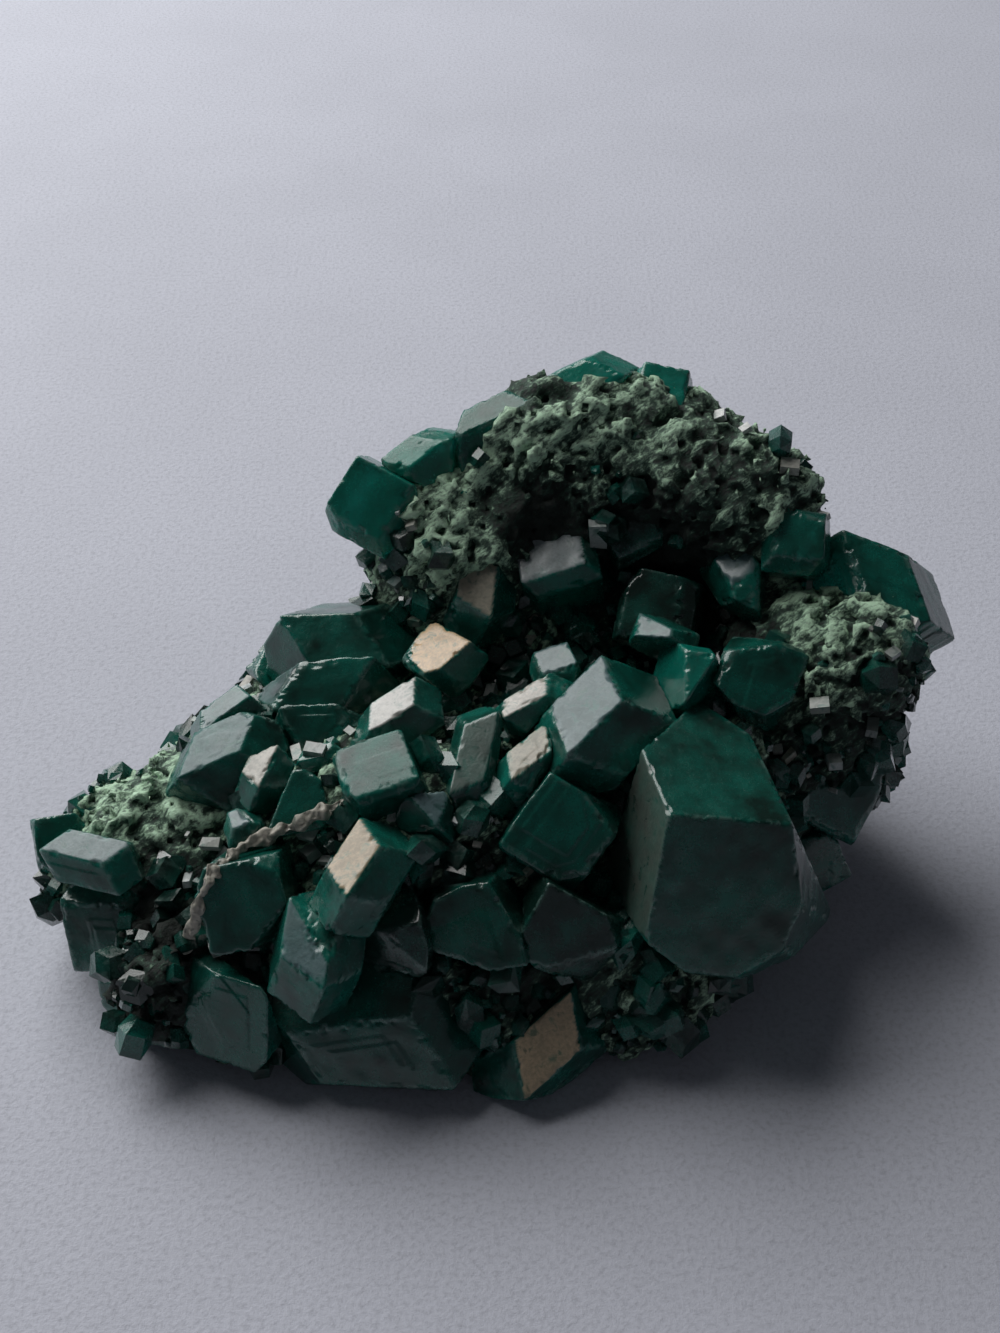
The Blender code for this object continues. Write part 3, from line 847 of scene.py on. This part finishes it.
def small_crystals(sizes):
    """The druse: many small rhomb-ended prisms, sunk by half into the host rock."""
    rng = np.random.default_rng(DRUSE_SEED)
    points, normals, openness = rock_surface()
    chance = (1 - 0.97 * bareness(points)) * (0.05 + openness)
    chance *= smooth_step(0.6 * MM, 2.0 * MM, points[:, 2]) * (normals[:, 2] > -0.75)
    chance *= np.where(points[:, 1] > BACK_FROM, BACK_SHARE, 1.0)
    picked = rng.choice(len(points), sizes.druse_count, replace=False, p=chance / chance.sum())
    widths = rng.power(0.55, len(picked))
    widths = sizes.druse_smallest + (sizes.druse_largest - sizes.druse_smallest) * widths
    lengths = widths * rng.uniform(0.95, 1.7, len(picked))
    axes = normals[picked] + rng.normal(scale=0.5, size=(len(picked), 3))
    axes /= np.linalg.norm(axes, axis=1, keepdims=True)
    frames = upright_frames(axes, rng)
    places = points[picked] + axes * (lengths * rng.uniform(-0.12, 0.12, len(picked)))[:, None]
    places[:, 2] = np.maximum(places[:, 2], 0.75 * lengths)
    spans = np.stack([widths, widths * rng.uniform(0.75, 1.1, len(picked)), lengths], axis=1)
    marks = {
        "edge": rng.uniform(0.0, 0.5, len(picked)),
        "painted_glow": rng.uniform(0.1, 0.6, len(picked)) ** 1.3,
        "gloss": rng.uniform(0.1, 0.9, len(picked)),
        "shade": rng.uniform(0, 1, len(picked)),
    }
    piece = scatter("small_crystals", rhomb_prism(), places, frames, spans, rng, marks)
    return piece


def pale_flakes(sizes):
    """Small cleaved flakes that lie with a flat side to the sky and catch the window, their pale film partly
    a painted glint.
    """
    rng = np.random.default_rng(FLAKE_SEED)
    points, normals, openness = rock_surface()
    chance = (1 - bareness(points)) * openness * (normals[:, 2] > 0.3) * (points[:, 1] < FLAKES_TO)
    chance *= smooth_step(*FLAKE_HEIGHTS, points[:, 2])
    picked = rng.choice(len(points), sizes.flake_count, replace=False, p=chance / chance.sum())
    axes = SKYWARD + rng.normal(scale=0.16, size=(len(picked), 3))
    axes /= np.linalg.norm(axes, axis=1, keepdims=True)
    frames = upright_frames(axes, rng)
    widths = (0.4 + 1.1 * rng.uniform(0, 1, len(picked)) ** 2) * MM
    spans = np.stack([widths, widths * rng.uniform(0.4, 0.9, len(picked)), 0.5 * widths], axis=1)
    places = points[picked] + normals[picked] * 0.25 * MM
    places[: len(GLINTS)] = [np.array(place) * MM for place, _ in GLINTS]
    spans[: len(GLINTS)] = [np.array(size) * MM for _, size in GLINTS]
    pale = rng.uniform(0.1, 0.8, len(picked))
    # The glints get the palest colour, a painted highlight.
    pale[: len(GLINTS)] = 1.0
    box = np.array([(x, y, z) for x in (-0.5, 0.5) for y in (-0.5, 0.5) for z in (-0.5, 0.5)])
    sides = [(0, 1, 3, 2), (4, 6, 7, 5), (0, 4, 5, 1), (2, 3, 7, 6), (0, 2, 6, 4), (1, 5, 7, 3)]
    marks = {
        "edge": np.zeros(len(picked)),
        "painted_glow": np.full(len(picked), 0.3),
        "gloss": np.full(len(picked), 0.7),
        "shade": rng.uniform(0, 1, len(picked)),
        "film_glare": rng.uniform(0.5, 1.0, len(picked)),
        "warm": rng.uniform(0.0, 0.5, len(picked)),
        "pale": pale,
    }
    piece = scatter("pale_flakes", (box, np.array(sides)), places, frames, spans, rng, marks)
    return piece


def closed_ends(points, quads, sides):
    """A tube's points and triangles, with each end ring made one point, and which points stay."""
    last = len(points) - sides
    points[0] = points[:sides].mean(axis=0)
    points[last] = points[last:].mean(axis=0)
    triangles = np.concatenate([quads[:, [0, 1, 2]], quads[:, [0, 2, 3]]])
    triangles[triangles < sides] = 0
    triangles[triangles > last] = last
    a, b, c = triangles.T
    triangles = triangles[(a != b) & (b != c) & (c != a)]
    kept = np.unique(triangles)
    return points[kept], np.searchsorted(kept, triangles), kept


def vein(sizes):
    """The pale vein: a flattened tube along its route, its width swelling and shrinking with noise.

    Point (s, t) is at centre(s) + width(s) (cos t across + half sin t up), and both ends narrow to a point.
    """
    rng = np.random.default_rng(VEIN_SEED)
    stops = np.linspace(0, 1, len(VEIN_ROUTE))
    along = np.linspace(0, 1, VEIN_ROWS)
    route = np.array(VEIN_ROUTE) * MM
    centre = np.stack([np.interp(along, stops, route[:, k]) for k in range(3)], axis=1)
    window = np.ones(VEIN_SOFTNESS)
    weights = np.convolve(np.ones(VEIN_ROWS), window, "same")[:, None]
    centre = np.stack([np.convolve(centre[:, k], window, "same") for k in range(3)], axis=1) / weights
    centre += 0.08 * MM * np.stack([wave_noise(centre, 2 * MM, rng) for _ in range(3)], axis=1)
    forward = np.gradient(centre, axis=0)
    forward /= np.linalg.norm(forward, axis=1, keepdims=True)
    across = np.cross(forward, (0, -0.6, 0.8))
    across /= np.linalg.norm(across, axis=1, keepdims=True)
    up = np.cross(across, forward)
    taper = np.sqrt(np.clip(np.minimum(along, 1 - along) / VEIN_TAPER, 0, 1))
    turn = np.arange(VEIN_SIDES) * 2 * math.pi / VEIN_SIDES
    width = (sizes.vein_width / 2 * taper * (1 + 0.3 * wave_noise(centre, 1.2 * MM, rng)))[:, None, None]
    ring = np.cos(turn)[None, :, None] * across[:, None] + 0.5 * np.sin(turn)[None, :, None] * up[:, None]
    points = (centre[:, None] + width * ring).reshape(-1, 3)
    points += (0.1 * MM * wave_noise(points, 0.5 * MM, rng))[:, None] * np.repeat(up, VEIN_SIDES, axis=0)
    corner = np.arange((VEIN_ROWS - 1) * VEIN_SIDES)
    after = corner - corner % VEIN_SIDES + (corner + 1) % VEIN_SIDES
    quads = np.stack([corner, corner + VEIN_SIDES, after + VEIN_SIDES, after], axis=1)
    marks = {
        "edge": np.zeros(len(points)),
        "film_glare": np.ones(len(points)),
        "warm": np.full(len(points), 0.35),
        "pale": np.full(len(points), 0.25),
        "painted_glow": np.zeros(len(points)),
        "shade": np.full(len(points), 0.5),
    }
    points, triangles, kept = closed_ends(points, quads, VEIN_SIDES)
    marks = {mark: values[kept] for mark, values in marks.items()}
    piece = new_piece("pale_vein", points, triangles, marks)
    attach(piece, ROOT)
    return piece


# ---------------------------------------------------------------- materials


class Value:
    """A number from a material's nodes, so that shader maths reads as ordinary sums."""

    def __init__(self, recipe, socket):
        self.recipe = recipe
        self.socket = socket

    def sum(self, operation, *others):
        sockets = {k: other for k, other in enumerate((self, *others))}
        return self.recipe.node("ShaderNodeMath", {"operation": operation}, sockets)

    def __add__(self, other):
        return self.sum("ADD", other)

    def __radd__(self, other):
        return self.sum("ADD", other)

    def __sub__(self, other):
        return self.sum("SUBTRACT", other)

    def __rsub__(self, other):
        sockets = {0: other, 1: self}
        return self.recipe.node("ShaderNodeMath", {"operation": "SUBTRACT"}, sockets)

    def __mul__(self, other):
        return self.sum("MULTIPLY", other)

    def __rmul__(self, other):
        return self.sum("MULTIPLY", other)

    def clamp(self):
        settings = {"operation": "ADD", "use_clamp": True}
        return self.recipe.node("ShaderNodeMath", settings, {0: self, 1: 0.0})


class Recipe:
    """The nodes of one material, built a node at a time."""

    def __init__(self, name):
        self.material = bpy.data.materials.new(name)
        self.material.use_nodes = True
        self.tree = self.material.node_tree
        self.tree.nodes.clear()

    def node(self, kind, settings=None, sockets=None, output=0):
        """Adds a node: its settings first, then the values or links of its sockets."""
        made = self.tree.nodes.new(kind)
        for key, value in (settings or {}).items():
            setattr(made, key, value)
        for key, value in (sockets or {}).items():
            if isinstance(value, Value):
                self.tree.links.new(value.socket, made.inputs[key])
            else:
                made.inputs[key].default_value = value
        return Value(self, made.outputs[output]) if made.outputs else None

    def places(self):
        return self.node("ShaderNodeTexCoord", output="Object")

    def drawn_out(self, direction, stretch):
        """Object coordinates shrunk along a direction, which draws a pattern out along it."""
        turn = Vector((1, 0, 0)).rotation_difference(Vector(direction)).to_euler()
        settings = {"vector_type": "TEXTURE"}
        sockets = {"Vector": self.places(), "Rotation": turn, "Scale": (stretch, 1, 1)}
        return self.node("ShaderNodeMapping", settings, sockets)

    def mark(self, name):
        """A float attribute of the piece."""
        return self.node("ShaderNodeAttribute", {"attribute_name": name}, output="Fac")

    def noise(self, size, detail=3.0, roughness=0.55, distortion=0.0, places=None):
        """Noise whose lumps are about size across, in metres."""
        sockets = {
            "Vector": places or self.places(),
            "Scale": 1.0 / size,
            "Detail": detail,
            "Roughness": roughness,
            "Distortion": distortion,
        }
        return self.node("ShaderNodeTexNoise", {}, sockets, "Fac")

    def remap(self, value, low, high, to_low=0.0, to_high=1.0):
        """low..high becomes to_low..to_high, clamped, along an S-shaped curve."""
        sockets = {
            "Value": value,
            "From Min": low,
            "From Max": high,
            "To Min": to_low,
            "To Max": to_high,
        }
        settings = {"interpolation_type": "SMOOTHSTEP"}
        return self.node("ShaderNodeMapRange", settings, sockets)

    def blend(self, share, first, second):
        """first where share is 0, second where it is 1; each a colour."""
        settings = {"data_type": "RGBA"}
        sockets = {"Factor": share, 6: first, 7: second}
        return self.node("ShaderNodeMix", settings, sockets, 2)

    def bump(self, height, depth, strength):
        """Raised detail, depth metres high where height goes from 0 to 1."""
        sockets = {"Strength": strength, "Distance": depth, "Height": height}
        return self.node("ShaderNodeBump", {}, sockets)

    def finish(self, sockets):
        shader = self.node("ShaderNodeBsdfPrincipled", {}, sockets)
        self.node("ShaderNodeOutputMaterial", {}, {"Surface": shader})
        return self.material


def solid(colour):
    return (*colour, 1.0)


def crystal_finish(name, colours, roughness, clearness):
    """A crystal: deep green inside, with a painted glow of emerald where it is thin, cloudy veils, and a film
    on one face that also paints the window's glare.
    """
    recipe = Recipe(name)
    cloud = recipe.noise(3.2 * MM, 4.0, 0.6)
    veil = recipe.noise(0.9 * MM, 3.0, 0.6, 0.6)
    grain = recipe.noise(0.25 * MM, 3.0, 0.6)
    shade = recipe.mark("shade")
    # A painted glow: the glow mark, the edges and the clouds lighten the body towards emerald, as light
    # shining through would.
    share = recipe.mark("painted_glow") * 0.8 + recipe.mark("edge") * 0.15 + (cloud - 0.5) * 1.5 + shade * 0.1 - 0.1
    green = recipe.blend(share.clamp(), solid(colours.deep), solid(colours.emerald))
    haze = recipe.remap(veil, 0.5, 0.75, 0.0, 0.25)
    green = recipe.blend(haze, green, solid(colours.haze))
    # Paler patches along the edges: partly chipping, partly a painted highlight.
    rim = recipe.mark("edge") * recipe.remap(veil, 0.48, 0.62, 0.0, 0.7)
    green = recipe.blend(rim, green, solid(colours.rim))
    # The film's colour, grey, golden or near white, is a real film and a painted glare of the window at once.
    warm = recipe.mark("warm")
    film_glare = recipe.blend(warm, solid(colours.bloom_glare), solid(colours.iron))
    film_glare = recipe.blend(recipe.mark("pale"), film_glare, solid(colours.cleavage_glint))
    worn = recipe.blend(0.55, film_glare, solid(colours.deep))
    wear = recipe.remap(grain * 0.3 + veil * 0.45 + cloud * 0.25, 0.44, 0.6, 0.0, 0.65)
    film_glare = recipe.blend(wear, film_glare, worn)
    cover = (recipe.mark("film_glare") * (recipe.remap(veil, 0.3, 0.5, 0.3, 1.0))).clamp()
    height = veil * 0.6 + grain * 0.4
    return recipe.finish(
        {
            "Base Color": recipe.blend(cover, green, film_glare),
            "Roughness": (cover * 0.25 + cloud * 0.25 + grain * 0.15 + 0.05).clamp(),
            "Normal": recipe.bump(height, 0.1 * MM, 0.6),
            "IOR": 1.6,
            "Specular IOR Level": 0.12,
            "Coat Weight": recipe.mark("gloss"),
            "Coat IOR": 1.5,
            "Coat Roughness": roughness,
            "Transmission Weight": clearness,
        }
    )


def rock_finish(name, colours):
    """The host rock: painted shade dark in its pits, mossy on its slopes, pale mint on its crests partly as
    painted light, with patches of painted light and shade.
    """
    recipe = Recipe(name)
    crest_light_pit_shade = recipe.mark("crest_light_pit_shade")
    tone_and_painted_light = recipe.mark("tone_and_painted_light")
    broad = recipe.noise(5 * MM, 3.0, 0.6)
    drawn = recipe.drawn_out(STREAK, 2.5)
    mottle = recipe.noise(0.7 * MM, 5.0, 0.7, 0.4, drawn)
    grain = recipe.noise(0.26 * MM, 4.0, 0.75, 0.0, drawn)
    # Low relief gives the painted shade of the pits and high relief the painted light of the crests, mixed
    # with the rock's own mottles and patches.
    level = crest_light_pit_shade * 0.7 + mottle * 1.5 + grain * 1.7 + broad * 0.5 + tone_and_painted_light * 0.9 - 1.78
    base = recipe.blend(recipe.remap(level, -0.1, 0.32), solid(colours.dark_rock_and_pit_shade), solid(colours.moss))
    base = recipe.blend(recipe.remap(level, 0.26, 0.8), base, solid(colours.mint))
    height = grain * 0.6 + mottle * 0.4
    return recipe.finish(
        {
            "Base Color": base,
            "Roughness": recipe.remap(grain, 0.3, 0.7, 0.55, 0.85),
            "Normal": recipe.bump(height, 0.4 * MM, 1.0),
        }
    )


def table_finish(colours):
    """A pale table with faint clouds and a fine speckled grain."""
    recipe = Recipe("pale_table")
    cloud = recipe.noise(30 * MM, 4.0, 0.6)
    grain = recipe.noise(0.45 * MM, 3.0, 0.7)
    pale = solid(colours.table)
    dim = solid([channel * 0.86 for channel in colours.table])
    colour = recipe.blend(recipe.remap(cloud, 0.35, 0.65, 0.0, 0.35), pale, dim)
    speck = solid([channel * 0.6 for channel in colours.table])
    colour = recipe.blend(recipe.remap(grain, 0.4, 0.8, 0.0, 0.6), colour, speck)
    return recipe.finish(
        {
            "Base Color": colour,
            "Roughness": 0.75,
            "Normal": recipe.bump(grain, 0.1 * MM, 0.6),
        }
    )


# ---------------------------------------------------------------- operators


def dress(piece, slot, context):
    """Gives a piece the material of a record slot, which is made once."""
    name = slot + "_finish"
    if name not in bpy.data.materials:
        colours = context.scene.specimen_colours
        if slot in CLARITY:
            crystal_finish(name, colours, *CLARITY[slot])
        else:
            rock_finish(name, colours)
    piece.data.materials.append(bpy.data.materials[name])


def grow_crystals(context, slot):
    """Makes every crystal of a record slot."""
    for node in sorted(SLOT_OF):
        if node != ROCK_NODE and SLOT_OF[node] == slot:
            dress(crystal(node, context.scene.specimen_crystals), slot, context)


class SPECIMEN_OT_host_rock(bpy.types.Operator):
    """Adds the spongy host rock"""

    bl_idname = "specimen.host_rock"
    bl_label = "Host rock"

    def execute(self, context):
        piece = host_rock(context.scene.specimen_rock, context.scene.specimen_crystals)
        dress(piece, SLOT_OF[ROCK_NODE], context)
        return {"FINISHED"}


class SPECIMEN_OT_small_crystals(bpy.types.Operator):
    """Adds the small crystals that cover the host rock"""

    bl_idname = "specimen.small_crystals"
    bl_label = "Small crystals"

    def execute(self, context):
        dress(small_crystals(context.scene.specimen_druse), "dioptase", context)
        return {"FINISHED"}


class SPECIMEN_OT_pale_flakes(bpy.types.Operator):
    """Adds the pale flakes between the crystals"""

    bl_idname = "specimen.pale_flakes"
    bl_label = "Pale flakes"

    def execute(self, context):
        dress(pale_flakes(context.scene.specimen_druse), "iron_stained_dioptase", context)
        return {"FINISHED"}


class SPECIMEN_OT_vein(bpy.types.Operator):
    """Adds the pale vein over the left-hand crystals"""

    bl_idname = "specimen.vein"
    bl_label = "Pale vein"

    def execute(self, context):
        dress(vein(context.scene.specimen_druse), "iron_stained_dioptase", context)
        return {"FINISHED"}


class SPECIMEN_OT_glassy_crystals(bpy.types.Operator):
    """Adds the clear green crystals"""

    bl_idname = "specimen.glassy_crystals"
    bl_label = "Glassy crystals"

    def execute(self, context):
        grow_crystals(context, "dioptase")
        return {"FINISHED"}


class SPECIMEN_OT_tarnished_crystals(bpy.types.Operator):
    """Adds the crystals with a grey film"""

    bl_idname = "specimen.tarnished_crystals"
    bl_label = "Tarnished crystals"

    def execute(self, context):
        grow_crystals(context, "tarnished_dioptase")
        return {"FINISHED"}


class SPECIMEN_OT_iron_stained_crystals(bpy.types.Operator):
    """Adds the crystals with a beige iron film"""

    bl_idname = "specimen.iron_stained_crystals"
    bl_label = "Iron-stained crystals"

    def execute(self, context):
        grow_crystals(context, "iron_stained_dioptase")
        return {"FINISHED"}


def table_surface(half, rise, count):
    """A table on a square grid: flat inside, then climbing with the square of the distance past a circle."""
    line = np.linspace(-1, 1, count + 1)
    line = np.sign(line) * np.abs(line) ** 1.5 * half
    x, y = np.meshgrid(line, line, indexing="ij")
    radius = np.hypot(x, y)
    z = rise * np.clip((radius - half * 0.6) / (half * 0.4), 0, 2) ** 2
    points = np.stack([x.ravel(), y.ravel(), z.ravel()], axis=1)
    step = count + 1
    corner = (np.arange(count)[:, None] * step + np.arange(count)).ravel()
    return points, np.stack([corner, corner + step, corner + step + 1, corner + 1], axis=1)


def add_lamp(name, place, back, width, power):
    """A square soft light whose back looks along the given direction, unseen by the camera itself."""
    data = bpy.data.lights.new(name, "AREA")
    data.shape = "SQUARE"
    data.size = width
    data.energy = power
    data.color = (1.0, 0.99, 0.98)
    lamp = bpy.data.objects.new(name, data)
    turn = back.to_track_quat("Z", "Y").to_matrix().to_4x4()
    lamp.matrix_world = Matrix.Translation(place) @ turn
    lamp.visible_camera = False
    bpy.context.scene.collection.objects.link(lamp)


class SPECIMEN_OT_stage(bpy.types.Operator):
    """Adds the table, the window light, the dim room and the camera"""

    bl_idname = "specimen.stage"
    bl_label = "Table, light and camera"

    def execute(self, context):
        scene = context.scene
        light = scene.specimen_light
        points, quads = table_surface(TABLE_HALF, TABLE_RISE, TABLE_CELLS)
        table = new_piece("table", points, quads, {})
        table.data.materials.append(table_finish(scene.specimen_colours))
        towards = Vector(WINDOW_WAY).normalized()
        place = Vector(WINDOW_TARGET) + towards * light.distance
        add_lamp("window", place, towards, light.width, light.power)
        away = Vector((-towards.x, -towards.y, 0.3)).normalized()
        add_lamp("wall_wash", place + Vector(WASH_LIFT), away, light.width, light.power * light.wash)
        world = bpy.data.worlds.new("dim_room")
        world.use_nodes = True
        background = world.node_tree.nodes["Background"]
        background.inputs["Color"].default_value = (0.92, 0.94, 1.0, 1.0)
        background.inputs["Strength"].default_value = light.room
        scene.world = world
        lens = bpy.data.cameras.new("camera")
        lens.lens = FOCAL_LENGTH
        lens.sensor_fit = "VERTICAL"
        lens.sensor_height = SENSOR_HEIGHT
        lens.clip_start = 5 * MM
        camera = bpy.data.objects.new("camera", lens)
        tilt = math.radians(CAMERA_TILT)
        back = Vector((0, -math.cos(tilt), math.sin(tilt)))
        turn = back.to_track_quat("Z", "Y").to_matrix().to_4x4()
        camera.matrix_world = Matrix.Translation(Vector(CAMERA_TARGET) + back * CAMERA_DISTANCE) @ turn
        scene.collection.objects.link(camera)
        scene.camera = camera
        scene.view_settings.view_transform = "Standard"
        return {"FINISHED"}


OPERATORS = (
    SPECIMEN_OT_host_rock,
    SPECIMEN_OT_small_crystals,
    SPECIMEN_OT_pale_flakes,
    SPECIMEN_OT_vein,
    SPECIMEN_OT_glassy_crystals,
    SPECIMEN_OT_tarnished_crystals,
    SPECIMEN_OT_iron_stained_crystals,
    SPECIMEN_OT_stage,
)


class SPECIMEN_PT_builder(bpy.types.Panel):
    """Lists the specimen's builders and sizes"""

    bl_label = "Dioptase specimen"
    bl_space_type = "VIEW_3D"
    bl_region_type = "UI"
    bl_category = "Specimen"

    def draw(self, context):
        column = self.layout.column()
        for operator in OPERATORS:
            column.operator(operator.bl_idname)
        for group in GROUPS:
            settings = getattr(context.scene, group)
            for key in settings.bl_rna.properties.keys():
                if key not in ("rna_type", "name"):
                    column.prop(settings, key)


GROUPS = {
    "specimen_crystals": CrystalSizes,
    "specimen_rock": RockSizes,
    "specimen_druse": DruseSizes,
    "specimen_colours": SpecimenColours,
    "specimen_light": StudioLight,
}
CLASSES = (*GROUPS.values(), *OPERATORS, SPECIMEN_PT_builder)


def register():
    for made in CLASSES:
        bpy.utils.register_class(made)
    for group, made in GROUPS.items():
        setattr(bpy.types.Scene, group, bpy.props.PointerProperty(type=made))


def unregister():
    for group in GROUPS:
        delattr(bpy.types.Scene, group)
    for made in reversed(CLASSES):
        bpy.utils.unregister_class(made)


def main():
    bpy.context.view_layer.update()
    register()
    bpy.ops.specimen.host_rock()
    bpy.ops.specimen.small_crystals()
    bpy.ops.specimen.pale_flakes()
    bpy.ops.specimen.vein()
    bpy.ops.specimen.glassy_crystals()
    bpy.ops.specimen.tarnished_crystals()
    bpy.ops.specimen.iron_stained_crystals()
    bpy.ops.specimen.stage()


if __name__ == "__main__":
    main()
